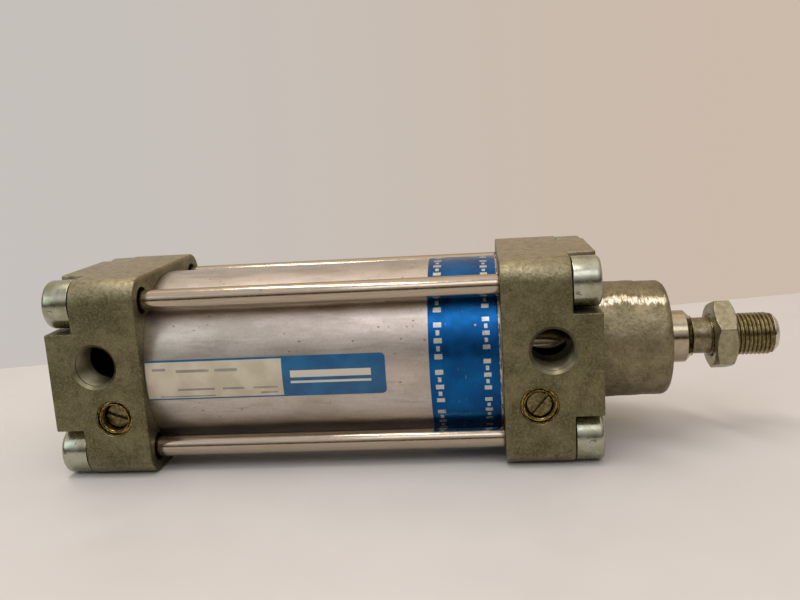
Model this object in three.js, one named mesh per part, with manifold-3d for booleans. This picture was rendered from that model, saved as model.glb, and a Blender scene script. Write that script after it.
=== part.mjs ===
// A double-acting pneumatic tie-rod cylinder: 63 mm bore, 80 mm stroke, adjustable cushioning at both ends.
//
// Millimetres, +Z up. The part stands on the flat sides of its two covers, with its origin under the middle
// of its length. The parts are drawn in the axis frame, which the group `axis` lifts into place: X runs along
// the rod towards its thread, X = 0 is the front mounting face, and the rod's axis is Y = Z = 0. The rod is
// fully retracted. The covers, nuts and throttles of the rear end mirror those of the front end.

import * as THREE from 'three';
import { mergeVertices } from 'three/addons/utils/BufferGeometryUtils.js';
import Module from 'manifold-3d';

const wasm = await Module();
wasm.setup();

// ---------------------------------------------------------------- driving dimensions

const BORE_RADIUS = 63 / 2;
const STROKE = 80;
const BODY_LENGTH = 121 + STROKE; // between the two mounting faces
const CLEARANCE = 0.3; // between neighbouring pieces

const COVER = { size: 75, length: 35, cornerRadius: 9, edge: 0.8 };
const CORNER_SEAT = { depth: 10.3, ribHalf: 18.5, filletRadius: 6 };
const SPIGOT = { radius: BORE_RADIUS - CLEARANCE, length: 7, edge: 1 };
const RING_GROOVE = { inset: 1.8, width: 2.8, floorRadius: 29.2 }; // for the seal on the spigot
const BARREL_SEAL = { radius: 30.35, halfWidth: 1.1, halfHeight: 0.85 };
const BARREL = { outerRadius: 34.3, grooveDepth: 1.5, edge: 0.5 };
const TIE = { spacing: 56.5, radius: 3.9, endDepth: 14.9, edge: 0.7 };
const TIE_HOLE = { radius: 5.2, counterboreRadius: 6.6, counterboreDepth: 25 };
const TIE_NUT = { radius: 9, head: 10, length: 24, neckRadius: 6.2, threadRadius: 3.4, edge: 1.6 };
const NUT_SOCKET = { flats: 8, depth: 5 };

const CUSHION = { chamberRadius: 15.5, chamberEnd: 10.5, sealRadius: 19, sealStart: 40.9, sealEnd: 37.1 };
const SLEEVE = { radius: 13.5, length: 21, nose: 1.5 };
const SPEAR_SOCKET = { flats: 8, depth: 5 };
const PORT = { depth: 17.4, height: 5.8, radius: 7.5, mouthRadius: 8.2, innerY: -9 };
const THROTTLE = { depth: 22.7, height: -14 };
const THROTTLE_BORE = { radius: 6.9, endY: -24 };
const STEM_BORE = { radius: 3.4, endY: -14.5 };
const PASSAGE = { radius: 2.2, endY: -5 };
const BUSH = { mouthRadius: 5.5, mouthDepth: 0.7, boreRadius: 5, seatRadius: 3.3, seatDepth: 4, sunk: 0.2 };
const SCREW_HEAD = { radius: 4.6, length: 5, edge: 0.4 };
const SCREW_STEM = { radius: 2.9, end: 16.4, tipRadius: 1.2, tipEnd: 18.9 };
const SCREW_SLOT = { length: 12, width: 1.3, depth: 1.5 };
const THROTTLE_SET = { front: { sunk: 2.1, slotAngle: 49 }, rear: { sunk: 3.9, slotAngle: -20 } };
const BYPASS = { y: -21, radius: 1.6, length: 22 };

const BOSS = { radius: 22.5, pilot: 16, castRadius: 21.9, length: 27.5, chamfer: 2.2 };
const BUSH_POCKET = { radius: 12.8, end: 20.2 };
const WIPER_POCKET_RADIUS = 14.8;
const CENTRING = { radius: 22.5, depth: 4 };

const ROD = { radius: 10, shoulder: 37, chamfer: 2.2, neckRadius: 6.9, end: 69 };
const ROD_THREAD = { radius: 8, start: 44, tipLength: 1.4, runOut: 3 };
const ROD_TAIL_RADIUS = 7.7;
const LOCK_NUT = { flats: 24, start: 44.6, thickness: 8, cornerAngle: 159 };
const LOCK_NUT_EDGE = { faceInset: 0.4, chamferDepth: 1.6, boreChamfer: 0.5 };

const PISTON = { radius: 30.8, hubRadius: 21.7, boreRadius: 8 };
const PISTON_GROOVE = { sealRadius: 25.4, guideRadius: 28.6 };
const BAND = { thickness: 0.3, width: 25.6 };
const PLATE = { start: 0.4, end: 89.2, top: 11, bottom: -14.5 };

const ROUND = { coarse: 10, small: 16, medium: 24, large: 36 }; // sides on a full circle

// ---------------------------------------------------------------- places along the axis

const INNER_FACE = -COVER.length; // the front cover's face towards the barrel
const SPIGOT_END = INNER_FACE - SPIGOT.length;
const PISTON_GAP = 0.4; // left between the piston and a cover at each end of the stroke
const PISTON_FRONT = SPIGOT_END - PISTON_GAP - STROKE;
const PISTON_REAR = -BODY_LENGTH - SPIGOT_END + PISTON_GAP;
const FACE_Y = -COVER.size / 2; // the side with the ports, throttles and name plate
const FOIL_RADIUS = BARREL.outerRadius + CLEARANCE;
const TIE_PLACES = [[1, 1], [-1, 1], [-1, -1], [1, -1]].map(([ySide, zSide]) => ({
  y: (ySide * TIE.spacing) / 2,
  z: (zSide * TIE.spacing) / 2,
}));

// ---------------------------------------------------------------- materials

const finish = (color, roughness, metalness) =>
  new THREE.MeshStandardMaterial({ color, roughness, metalness, flatShading: true });

const MATERIALS = {
  castAluminium: finish('#8d8676', 0.55, 0.9),
  anodised: finish('#c9c5bf', 0.4, 0.85),
  turnedAluminium: finish('#b9b9ba', 0.35, 0.9),
  brightSteel: finish('#b4afa6', 0.22, 1),
  zincPlate: finish('#a9aca6', 0.3, 1),
  yellowZinc: finish('#97917a', 0.4, 1),
  chrome: finish('#a7a296', 0.15, 1),
  brass: finish('#a98f45', 0.35, 1),
  bronze: finish('#9c7a46', 0.4, 1),
  rubber: finish('#232323', 0.8, 0),
  polyurethane: finish('#1f4b3c', 0.5, 0),
  guidePlastic: finish('#dcd3bd', 0.5, 0),
  magnet: finish('#3a3632', 0.6, 0.3),
  foil: finish('#0f5f94', 0.35, 0),
  plate: finish('#d8cfbb', 0.4, 0),
};

// ---------------------------------------------------------------- solids

// A closed geometry as a manifold-3d solid, ready to join and cut.
function solidOf(geometry) {
  const bare = geometry.clone();
  bare.deleteAttribute('normal');
  bare.deleteAttribute('uv');
  const merged = mergeVertices(bare, 1e-4);
  const vertProperties = new Float32Array(merged.attributes.position.array);
  const triVerts = new Uint32Array(merged.index.array);
  return new wasm.Manifold(new wasm.Mesh({ numProp: 3, vertProperties, triVerts }));
}

function geometryOf(solid) {
  const { vertProperties, triVerts } = solid.getMesh();
  const geometry = new THREE.BufferGeometry();
  geometry.setAttribute('position', new THREE.BufferAttribute(vertProperties, 3));
  geometry.setIndex(new THREE.BufferAttribute(triVerts, 1));
  return geometry;
}

const joined = (first, ...others) => others.reduce((solid, other) => solid.add(other), first);
const cut = (first, ...others) => others.reduce((solid, other) => solid.subtract(other), first);

// A solid turned about the Y axis from [y, radius] points, listed anticlockwise with the axis on the left.
function turnedAboutY(profile, sides) {
  const points = profile.map(([y, radius]) => new THREE.Vector2(radius, y));
  return new THREE.LatheGeometry(points, sides);
}

// The same about the X axis, from [x, radius] points.
function turned(profile, sides = ROUND.large) {
  return solidOf(turnedAboutY(profile, sides).rotateZ(-Math.PI / 2));
}

// A turned ring: its profile closes on itself.
const ring = (profile, sides) => turned([...profile, profile[0]], sides);

const disc = (start, end, radius, sides) =>
  turned([[start, 0], [start, radius], [end, radius], [end, 0]], sides);

const tube = (start, end, innerRadius, outerRadius, sides) =>
  ring([[start, innerRadius], [start, outerRadius], [end, outerRadius], [end, innerRadius]], sides);

// A shape drawn in the Y-Z plane and drawn out along X.
function extruded(shape, start, end, options = {}) {
  const toYZ = new THREE.Matrix4().makeBasis(
    new THREE.Vector3(0, 1, 0),
    new THREE.Vector3(0, 0, 1),
    new THREE.Vector3(1, 0, 0),
  );
  const settings = { depth: end - start, bevelEnabled: false, curveSegments: 4, ...options };
  return new THREE.ExtrudeGeometry(shape, settings).applyMatrix4(toYZ).translate(start, 0, 0);
}

function roundedSquare(size, radius) {
  const half = size / 2 - radius;
  const shape = new THREE.Shape();
  for (const [quarter, y, z] of [[0, half, half], [1, -half, half], [2, -half, -half], [3, half, -half]]) {
    shape.absarc(y, z, radius, (quarter * Math.PI) / 2, ((quarter + 1) * Math.PI) / 2, false);
  }
  return shape;
}

// A hexagon by its distance across flats, with one corner at `angle` degrees.
function hexagon(flats, angle = 0) {
  const radius = flats / Math.sqrt(3);
  const corners = Array.from({ length: 6 }, (_, corner) => {
    const turn = THREE.MathUtils.degToRad(angle + 60 * corner);
    return new THREE.Vector2(radius * Math.cos(turn), radius * Math.sin(turn));
  });
  return new THREE.Shape(corners);
}

// The solid seen in a mirror across the plane X = 0.
function mirrored(solid) {
  const geometry = geometryOf(solid).scale(-1, 1, 1);
  const index = geometry.index.array;
  for (let i = 0; i < index.length; i += 3) {
    [index[i + 1], index[i + 2]] = [index[i + 2], index[i + 1]];
  }
  return solidOf(geometry);
}

// ---------------------------------------------------------------- covers

// Cuts away one corner of a cover, down to the seat of its tie nut.
function cornerSeatCutter(quarter) {
  const { depth, ribHalf, filletRadius } = CORNER_SEAT;
  const outside = COVER.size / 2 + 1;
  const centre = ribHalf + filletRadius;
  const shape = new THREE.Shape();
  shape.moveTo(outside, ribHalf);
  shape.lineTo(outside, outside);
  shape.lineTo(ribHalf, outside);
  shape.absarc(centre, centre, filletRadius, Math.PI, 1.5 * Math.PI, false);
  shape.closePath();
  return solidOf(extruded(shape, -depth, 1).rotateX((quarter * Math.PI) / 2));
}

function tieHoleCutter(y, z) {
  const { radius, counterboreRadius, counterboreDepth } = TIE_HOLE;
  const profile = [
    [INNER_FACE - 1, 0],
    [INNER_FACE - 1, radius],
    [-counterboreDepth, radius],
    [-counterboreDepth, counterboreRadius],
    [0, counterboreRadius],
    [0, 0],
  ];
  const hole = turnedAboutY(profile, ROUND.small).rotateZ(-Math.PI / 2);
  return solidOf(hole.translate(0, y, z));
}

// The supply port: a bore from the side face into the cushion chamber, with a countersunk mouth.
function portCutter() {
  const countersink = PORT.mouthRadius - PORT.radius;
  const profile = [
    [FACE_Y - 1, 0],
    [FACE_Y - 1, PORT.mouthRadius + 1],
    [FACE_Y + countersink, PORT.radius],
    [PORT.innerY, PORT.radius],
    [PORT.innerY, 0],
  ];
  return solidOf(turnedAboutY(profile, ROUND.medium).translate(-PORT.depth, 0, PORT.height));
}

// The throttle's stepped bore, which also opens into the cushion chamber, and the drilling that feeds it.
function throttleCutters() {
  const profile = [
    [FACE_Y - 1, 0],
    [FACE_Y - 1, THROTTLE_BORE.radius],
    [THROTTLE_BORE.endY, THROTTLE_BORE.radius],
    [THROTTLE_BORE.endY, STEM_BORE.radius],
    [STEM_BORE.endY, STEM_BORE.radius],
    [STEM_BORE.endY, PASSAGE.radius],
    [PASSAGE.endY, PASSAGE.radius],
    [PASSAGE.endY, 0],
  ];
  const bore = turnedAboutY(profile, ROUND.small).translate(-THROTTLE.depth, 0, THROTTLE.height);
  const drilling = new THREE.CylinderGeometry(BYPASS.radius, BYPASS.radius, BYPASS.length, 12);
  drilling.rotateZ(Math.PI / 2);
  drilling.translate(-THROTTLE.depth - BYPASS.length / 2, BYPASS.y, THROTTLE.height);
  return [solidOf(bore), solidOf(drilling)];
}

// What both covers share, drawn as the front one: a rounded square block with a spigot into the barrel.
function coverBlank() {
  const { size, length, cornerRadius, edge } = COVER;
  const block = extruded(roundedSquare(size, cornerRadius), -length + edge, -edge, {
    bevelEnabled: true,
    bevelThickness: edge,
    bevelSize: edge,
    bevelOffset: -edge,
    bevelSegments: 1,
  });
  const barrelGroove = disc(INNER_FACE - 1, INNER_FACE + BARREL.grooveDepth, FOIL_RADIUS);
  const spigot = turned([
    [SPIGOT_END, 0],
    [SPIGOT_END, SPIGOT.radius - SPIGOT.edge],
    [SPIGOT_END + SPIGOT.edge, SPIGOT.radius],
    [INNER_FACE + 5, SPIGOT.radius],
    [INNER_FACE + 5, 0],
  ]);
  const grooveStart = SPIGOT_END + RING_GROOVE.inset;
  const grooveEnd = grooveStart + RING_GROOVE.width;
  const ringGroove = tube(grooveStart, grooveEnd, RING_GROOVE.floorRadius, SPIGOT.radius + 1);
  const chamber = disc(SPIGOT_END - 1, -CUSHION.chamberEnd, CUSHION.chamberRadius);
  const sealGroove = disc(-CUSHION.sealStart, -CUSHION.sealEnd, CUSHION.sealRadius);
  const corners = [0, 1, 2, 3].map(cornerSeatCutter);
  const holes = TIE_PLACES.map(({ y, z }) => tieHoleCutter(y, z));
  const body = cut(joined(cut(solidOf(block), barrelGroove), spigot), ringGroove, chamber, sealGroove);
  return cut(body, portCutter(), ...throttleCutters(), ...corners, ...holes);
}

// The front cover adds the boss, which holds the rod's bearing bush and wiper seal.
function frontCover(blank) {
  const { radius, pilot, castRadius, length, chamfer } = BOSS;
  const boss = turned([
    [-1, 0],
    [-1, radius],
    [pilot, radius],
    [pilot + 1, castRadius + 0.2],
    [length - chamfer, castRadius],
    [length, castRadius - chamfer],
    [length, 0],
  ]);
  const bushPocket = disc(-CUSHION.chamberEnd - 1, BUSH_POCKET.end, BUSH_POCKET.radius);
  const wiperPocket = disc(BUSH_POCKET.end, length + 1, WIPER_POCKET_RADIUS);
  return cut(joined(blank, boss), bushPocket, wiperPocket);
}

// The rear cover is closed, with a round recess that centres what it is bolted to.
function rearCover(blank) {
  const centring = disc(-CENTRING.depth, 1, CENTRING.radius);
  return mirrored(cut(blank, centring));
}

// ---------------------------------------------------------------- barrel and tie rods

function barrel() {
  const { outerRadius, grooveDepth, edge } = BARREL;
  const front = INNER_FACE + grooveDepth - CLEARANCE;
  const rear = -BODY_LENGTH - front;
  return ring([
    [rear, BORE_RADIUS + edge],
    [rear, outerRadius],
    [front, outerRadius],
    [front, BORE_RADIUS + edge],
    [front - edge, BORE_RADIUS],
    [rear + edge, BORE_RADIUS],
  ]);
}

function tieRod() {
  const { radius, endDepth, edge } = TIE;
  const rear = -BODY_LENGTH + endDepth;
  return turned([
    [rear, 0],
    [rear, radius - edge],
    [rear + edge, radius],
    [-endDepth - edge, radius],
    [-endDepth, radius - edge],
    [-endDepth, 0],
  ], ROUND.coarse);
}

// A collar nut with a round head. Its thread takes the tie rod from inside and a mounting screw from outside.
function tieNut() {
  const { radius, head, length, neckRadius, threadRadius, edge } = TIE_NUT;
  const rodBore = TIE.radius + CLEARANCE;
  const rodBoreStart = -TIE.endDepth + CLEARANCE;
  const body = ring([
    [-length, rodBore],
    [-length, neckRadius],
    [-head, neckRadius],
    [-head, radius - 0.4],
    [-head + 0.4, radius],
    [-edge, radius],
    [-0.3 * edge, radius - 0.3 * edge],
    [0, radius - edge],
    [0, threadRadius],
    [rodBoreStart, threadRadius],
    [rodBoreStart, rodBore],
  ], ROUND.small);
  return cut(body, solidOf(extruded(hexagon(NUT_SOCKET.flats), -NUT_SOCKET.depth, 1)));
}

// ---------------------------------------------------------------- seals, bush, throttle, foil and plate

// An oval seal ring round the X axis.
function sealRing(x, centreRadius, halfWidth, halfHeight) {
  const section = [0, 1, 2, 3, 4, 5, 6, 7].map((corner) => {
    const turn = Math.PI - (corner * Math.PI) / 4;
    return [x + halfWidth * Math.cos(turn), centreRadius + halfHeight * Math.sin(turn)];
  });
  return ring(section, ROUND.medium);
}

function barrelSeal() {
  const middle = SPIGOT_END + RING_GROOVE.inset + RING_GROOVE.width / 2;
  return sealRing(middle, BARREL_SEAL.radius, BARREL_SEAL.halfWidth, BARREL_SEAL.halfHeight);
}

// The ring that the cushion sleeve enters, with a sloped lip towards the barrel.
function cushionSeal() {
  const start = -CUSHION.sealStart + CLEARANCE;
  const end = -CUSHION.sealEnd - CLEARANCE;
  const outer = CUSHION.sealRadius - CLEARANCE;
  const lip = SLEEVE.radius + CLEARANCE;
  return ring([
    [start, lip + 1.4],
    [start, outer],
    [end, outer],
    [end, lip],
    [end - 1.2, lip],
  ], ROUND.medium);
}

function bearingBush() {
  const outer = BUSH_POCKET.radius - CLEARANCE;
  const bore = ROD.radius + CLEARANCE;
  return tube(-CUSHION.chamberEnd + CLEARANCE, BUSH_POCKET.end - CLEARANCE, bore, outer, ROUND.medium);
}

// The wiper fills the pocket in the boss, and its lip stands a little proud of the end.
function wiperSeal() {
  const start = BUSH_POCKET.end + CLEARANCE;
  const outer = WIPER_POCKET_RADIUS - CLEARANCE;
  const lip = ROD.radius + CLEARANCE;
  return ring([
    [start, lip],
    [start, outer],
    [BOSS.length - 0.5, outer],
    [BOSS.length - 0.5, lip + 2.4],
    [BOSS.length + 0.4, lip + 1],
    [BOSS.length + 0.4, lip],
  ], ROUND.medium);
}

// The brass bush that is staked into the throttle's bore, drawn about the Y axis.
function throttleBush() {
  const { mouthRadius, mouthDepth, boreRadius, seatRadius, seatDepth, sunk } = BUSH;
  const outer = THROTTLE_BORE.radius - CLEARANCE;
  const end = THROTTLE_BORE.endY - CLEARANCE;
  const profile = [
    [FACE_Y + sunk, mouthRadius],
    [FACE_Y + sunk, outer],
    [end, outer],
    [end, seatRadius],
    [end - seatDepth, seatRadius],
    [end - seatDepth, boreRadius],
    [FACE_Y + sunk + mouthDepth, boreRadius],
  ];
  return solidOf(turnedAboutY([...profile, profile[0]], ROUND.medium));
}

// A slotted needle screw about the Y axis, with its head `sunk` below the side face.
function throttleScrew({ sunk, slotAngle }) {
  const { radius, length, edge } = SCREW_HEAD;
  const top = FACE_Y + sunk;
  const screw = solidOf(turnedAboutY([
    [top, 0],
    [top, radius - edge],
    [top + edge, radius],
    [top + length, radius],
    [top + length, SCREW_STEM.radius],
    [top + SCREW_STEM.end, SCREW_STEM.radius],
    [top + SCREW_STEM.tipEnd, SCREW_STEM.tipRadius],
    [top + SCREW_STEM.tipEnd, 0],
  ], ROUND.small));
  const slot = new THREE.BoxGeometry(SCREW_SLOT.length, 2 * SCREW_SLOT.depth, SCREW_SLOT.width);
  slot.translate(0, top, 0).rotateY(-THREE.MathUtils.degToRad(slotAngle));
  return cut(screw, solidOf(slot));
}

// The printed foil wound round the barrel beside the front cover.
function foilBand() {
  const front = INNER_FACE - 0.4;
  return tube(front - BAND.width, front, FOIL_RADIUS, FOIL_RADIUS + BAND.thickness);
}

// The name plate, bent to the barrel, from the rear cover towards the band.
function namePlate() {
  const top = THREE.MathUtils.degToRad(180 - PLATE.top);
  const bottom = THREE.MathUtils.degToRad(180 - PLATE.bottom);
  const shape = new THREE.Shape();
  shape.absarc(0, 0, FOIL_RADIUS + BAND.thickness, top, bottom, false);
  shape.absarc(0, 0, FOIL_RADIUS, bottom, top, true);
  const rearFace = -BODY_LENGTH - INNER_FACE;
  return solidOf(extruded(shape, rearFace + PLATE.start, rearFace + PLATE.end, { curveSegments: 6 }));
}

// ---------------------------------------------------------------- piston

const SEAL_GROOVE = { inset: 2.4, width: 5 };
const REAR_GROOVE = PISTON_REAR + SEAL_GROOVE.inset;
const FRONT_GROOVE = PISTON_FRONT - SEAL_GROOVE.inset - SEAL_GROOVE.width;
const GUIDE = { start: PISTON_REAR + 9.2, width: 6 };
const REAR_HALF_END = PISTON_REAR + 17;
const MAGNET = { start: REAR_HALF_END + CLEARANCE, width: 4 };

function rearPistonHalf() {
  const { radius, boreRadius } = PISTON;
  const { sealRadius, guideRadius } = PISTON_GROOVE;
  return ring([
    [PISTON_REAR, boreRadius],
    [PISTON_REAR, radius - 0.8],
    [PISTON_REAR + 0.6, radius - 0.2],
    [REAR_GROOVE, radius - 0.2],
    [REAR_GROOVE, sealRadius],
    [REAR_GROOVE + SEAL_GROOVE.width, sealRadius],
    [REAR_GROOVE + SEAL_GROOVE.width, radius],
    [GUIDE.start, radius],
    [GUIDE.start, guideRadius],
    [GUIDE.start + GUIDE.width, guideRadius],
    [GUIDE.start + GUIDE.width, radius],
    [REAR_HALF_END, radius],
    [REAR_HALF_END, boreRadius],
  ]);
}

function frontPistonHalf() {
  const { radius, hubRadius, boreRadius } = PISTON;
  const { sealRadius } = PISTON_GROOVE;
  const magnetEnd = MAGNET.start + MAGNET.width + CLEARANCE;
  return ring([
    [MAGNET.start, boreRadius],
    [MAGNET.start, hubRadius],
    [magnetEnd, hubRadius],
    [magnetEnd, radius],
    [FRONT_GROOVE, radius],
    [FRONT_GROOVE, sealRadius],
    [FRONT_GROOVE + SEAL_GROOVE.width, sealRadius],
    [FRONT_GROOVE + SEAL_GROOVE.width, radius - 0.2],
    [PISTON_FRONT - 0.6, radius - 0.2],
    [PISTON_FRONT, radius - 0.8],
    [PISTON_FRONT, boreRadius],
  ]);
}

function magnetRing() {
  const inner = PISTON.hubRadius + CLEARANCE;
  const outer = PISTON.radius - 2 * CLEARANCE;
  return tube(MAGNET.start, MAGNET.start + MAGNET.width, inner, outer, ROUND.medium);
}

function guideRing() {
  const inner = PISTON_GROOVE.guideRadius + CLEARANCE;
  const outer = BORE_RADIUS - CLEARANCE;
  return tube(GUIDE.start + CLEARANCE, GUIDE.start + GUIDE.width - CLEARANCE, inner, outer);
}

// A lip seal in the groove that starts at `groove`, with its V notch facing the rear.
function pistonSeal(groove) {
  const start = groove + CLEARANCE;
  const end = groove + SEAL_GROOVE.width - CLEARANCE;
  const inner = PISTON_GROOVE.sealRadius + CLEARANCE;
  const outer = BORE_RADIUS - CLEARANCE;
  return ring([
    [start, inner],
    [start, inner + 1.6],
    [start + 2.3, (inner + outer) / 2],
    [start, outer - 1.6],
    [start, outer],
    [end, outer - 0.5],
    [end, inner],
  ]);
}

const rearPistonSeal = () => pistonSeal(REAR_GROOVE);

// The front seal is the same ring turned round, so that its notch faces the front.
function frontPistonSeal() {
  const grooveEnd = FRONT_GROOVE + SEAL_GROOVE.width;
  const turnedRound = mirrored(pistonSeal(0));
  return solidOf(geometryOf(turnedRound).translate(grooveEnd, 0, 0));
}

// ---------------------------------------------------------------- rod

const ROD_STEP = PISTON_FRONT + CLEARANCE;
const SPEAR_START = PISTON_REAR - CLEARANCE;
const SPEAR_BORE_DEPTH = 13.4;

function pistonRod() {
  const { radius, shoulder, chamfer, neckRadius, end } = ROD;
  const { radius: threadRadius, start: threadStart, tipLength, runOut } = ROD_THREAD;
  const tail = SPEAR_START - SPEAR_BORE_DEPTH + CLEARANCE;
  return turned([
    [tail, 0],
    [tail, ROD_TAIL_RADIUS - 0.6],
    [tail + 0.6, ROD_TAIL_RADIUS],
    [ROD_STEP, ROD_TAIL_RADIUS],
    [ROD_STEP, radius],
    [shoulder - chamfer, radius],
    [shoulder, radius - chamfer],
    [shoulder, neckRadius],
    [threadStart, neckRadius],
    [threadStart + 1, threadRadius],
    [end - runOut, threadRadius],
    [end - tipLength, threadRadius - 0.6],
    [end, threadRadius - 2.4],
    [end, 0],
  ], ROUND.medium);
}

// The sleeve that closes the front cushion chamber as the rod comes out.
function cushionSleeve() {
  const { radius, length, nose } = SLEEVE;
  const start = ROD_STEP;
  return ring([
    [start, ROD.radius + CLEARANCE],
    [start, radius],
    [start + length - 2 * nose, radius],
    [start + length, radius - nose],
    [start + length, ROD.radius + CLEARANCE],
  ], ROUND.medium);
}

// The cap nut that clamps the piston on the rod, and is the rear cushion's sleeve.
function cushionSpear() {
  const { radius, length, nose } = SLEEVE;
  const end = SPEAR_START - length;
  const body = turned([
    [end, 0],
    [end, radius - nose],
    [end + 2 * nose, radius],
    [SPEAR_START, radius],
    [SPEAR_START, PISTON.boreRadius],
    [SPEAR_START - SPEAR_BORE_DEPTH, PISTON.boreRadius],
    [SPEAR_START - SPEAR_BORE_DEPTH, 0],
  ], ROUND.medium);
  return cut(body, solidOf(extruded(hexagon(SPEAR_SOCKET.flats), end - 1, end + SPEAR_SOCKET.depth)));
}

// A thin hexagon nut, its corners turned off at 30 degrees on both sides.
function lockNut() {
  const { flats, start, thickness, cornerAngle } = LOCK_NUT;
  const { faceInset, chamferDepth, boreChamfer } = LOCK_NUT_EDGE;
  const end = start + thickness;
  const faceRadius = flats / 2 - faceInset;
  const reach = faceRadius + chamferDepth * Math.sqrt(3);
  const bore = ROD_THREAD.radius + CLEARANCE;
  const blank = solidOf(extruded(hexagon(flats, cornerAngle), start, end));
  const envelope = ring([
    [start, bore + boreChamfer],
    [start, faceRadius],
    [start + chamferDepth, reach],
    [end - chamferDepth, reach],
    [end, faceRadius],
    [end, bore + boreChamfer],
    [end - boreChamfer, bore],
    [start + boreChamfer, bore],
  ], ROUND.medium);
  return blank.intersect(envelope);
}

// ---------------------------------------------------------------- assembly

function mesh(name, solid, material) {
  const piece = new THREE.Mesh(geometryOf(solid), material);
  piece.name = name;
  return piece;
}

function group(...pieces) {
  const assembly = new THREE.Group();
  assembly.add(...pieces);
  return assembly;
}

function coversAndBarrel() {
  const blank = coverBlank();
  const rear = mesh('rear_cover', rearCover(blank), MATERIALS.castAluminium);
  rear.position.x = -BODY_LENGTH;
  return group(
    mesh('front_cover', frontCover(blank), MATERIALS.castAluminium),
    rear,
    mesh('barrel', barrel(), MATERIALS.anodised),
    mesh('foil_band', foilBand(), MATERIALS.foil),
    mesh('name_plate', namePlate(), MATERIALS.plate),
  );
}

function tieRodsAndNuts() {
  const rod = tieRod();
  const nut = tieNut();
  const mirroredNut = mirrored(nut);
  const ties = TIE_PLACES.map(({ y, z }, place) => {
    const number = place + 1;
    const rearNut = mesh(`rear_tie_nut_${number}`, mirroredNut, MATERIALS.zincPlate);
    rearNut.position.x = -BODY_LENGTH;
    const tie = group(
      mesh(`tie_rod_${number}`, rod, MATERIALS.brightSteel),
      mesh(`front_tie_nut_${number}`, nut, MATERIALS.zincPlate),
      rearNut,
    );
    tie.position.set(0, y, z);
    return tie;
  });
  return group(...ties);
}

// The seals, bush and throttle that one cover carries, at the front or mirrored at the rear.
function coverFittings(end) {
  const atFront = end === 'front';
  const place = (solid) => (atFront ? solid : mirrored(solid));
  const throttle = group(
    mesh(`${end}_throttle_bush`, throttleBush(), MATERIALS.brass),
    mesh(`${end}_throttle_screw`, throttleScrew(THROTTLE_SET[end]), MATERIALS.brass),
  );
  throttle.position.set(atFront ? -THROTTLE.depth : THROTTLE.depth, 0, THROTTLE.height);
  const fittings = group(
    mesh(`${end}_barrel_seal`, place(barrelSeal()), MATERIALS.rubber),
    mesh(`${end}_cushion_seal`, place(cushionSeal()), MATERIALS.polyurethane),
    throttle,
  );
  fittings.position.x = atFront ? 0 : -BODY_LENGTH;
  return fittings;
}

const rodGuide = () => group(
  mesh('rod_bearing_bush', bearingBush(), MATERIALS.bronze),
  mesh('rod_wiper_seal', wiperSeal(), MATERIALS.polyurethane),
);

const slidingSeals = () => group(
  mesh('rear_piston_seal', rearPistonSeal(), MATERIALS.polyurethane),
  mesh('front_piston_seal', frontPistonSeal(), MATERIALS.polyurethane),
  mesh('piston_guide_ring', guideRing(), MATERIALS.guidePlastic),
);

const rodAndPiston = () => group(
  mesh('piston_rod', pistonRod(), MATERIALS.chrome),
  mesh('rear_piston_half', rearPistonHalf(), MATERIALS.turnedAluminium),
  mesh('front_piston_half', frontPistonHalf(), MATERIALS.turnedAluminium),
  mesh('piston_magnet_ring', magnetRing(), MATERIALS.magnet),
  mesh('front_cushion_sleeve', cushionSleeve(), MATERIALS.turnedAluminium),
  mesh('rear_cushion_spear', cushionSpear(), MATERIALS.turnedAluminium),
  mesh('rod_lock_nut', lockNut(), MATERIALS.yellowZinc),
);

const axis = group(
  coversAndBarrel(),
  tieRodsAndNuts(),
  coverFittings('front'),
  coverFittings('rear'),
  rodGuide(),
  slidingSeals(),
  rodAndPiston(),
);
axis.position.set((BODY_LENGTH - ROD.end) / 2, 0, COVER.size / 2);

const cylinder = group(axis);

export default cylinder;
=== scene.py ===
"""The looks of a pneumatic tie-rod cylinder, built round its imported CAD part.

Shapes are drawn in millimetres in the axis frame: X runs along the rod, X = 0 is the front mounting
face and Y = Z = 0 is the rod's axis. The side with the ports and the name plate faces -Y. The rear
cover and its fittings mirror the front ones. ORIGIN is the axis frame's origin in the scene, which
is in metres.
"""

import math

import bmesh
import bpy
from mathutils import Euler, Matrix, Vector, noise


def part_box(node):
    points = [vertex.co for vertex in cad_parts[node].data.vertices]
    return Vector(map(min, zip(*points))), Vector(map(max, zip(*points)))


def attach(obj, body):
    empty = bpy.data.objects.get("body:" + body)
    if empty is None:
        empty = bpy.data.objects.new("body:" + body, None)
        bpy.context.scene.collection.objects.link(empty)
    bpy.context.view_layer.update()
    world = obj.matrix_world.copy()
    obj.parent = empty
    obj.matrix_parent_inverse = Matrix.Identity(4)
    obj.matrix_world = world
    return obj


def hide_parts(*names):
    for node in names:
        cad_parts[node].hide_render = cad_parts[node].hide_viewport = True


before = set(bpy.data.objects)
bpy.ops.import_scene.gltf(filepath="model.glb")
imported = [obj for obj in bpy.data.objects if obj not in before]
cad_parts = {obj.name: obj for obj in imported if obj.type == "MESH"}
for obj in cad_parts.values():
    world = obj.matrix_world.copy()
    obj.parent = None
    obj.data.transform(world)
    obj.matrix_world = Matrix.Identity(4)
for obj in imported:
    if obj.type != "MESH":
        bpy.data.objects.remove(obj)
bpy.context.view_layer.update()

# ------------------------------------- dimensions: angles of shapes in degrees, lengths in millimetres,
# except the table's and the camera's, which are in metres and radians

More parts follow.
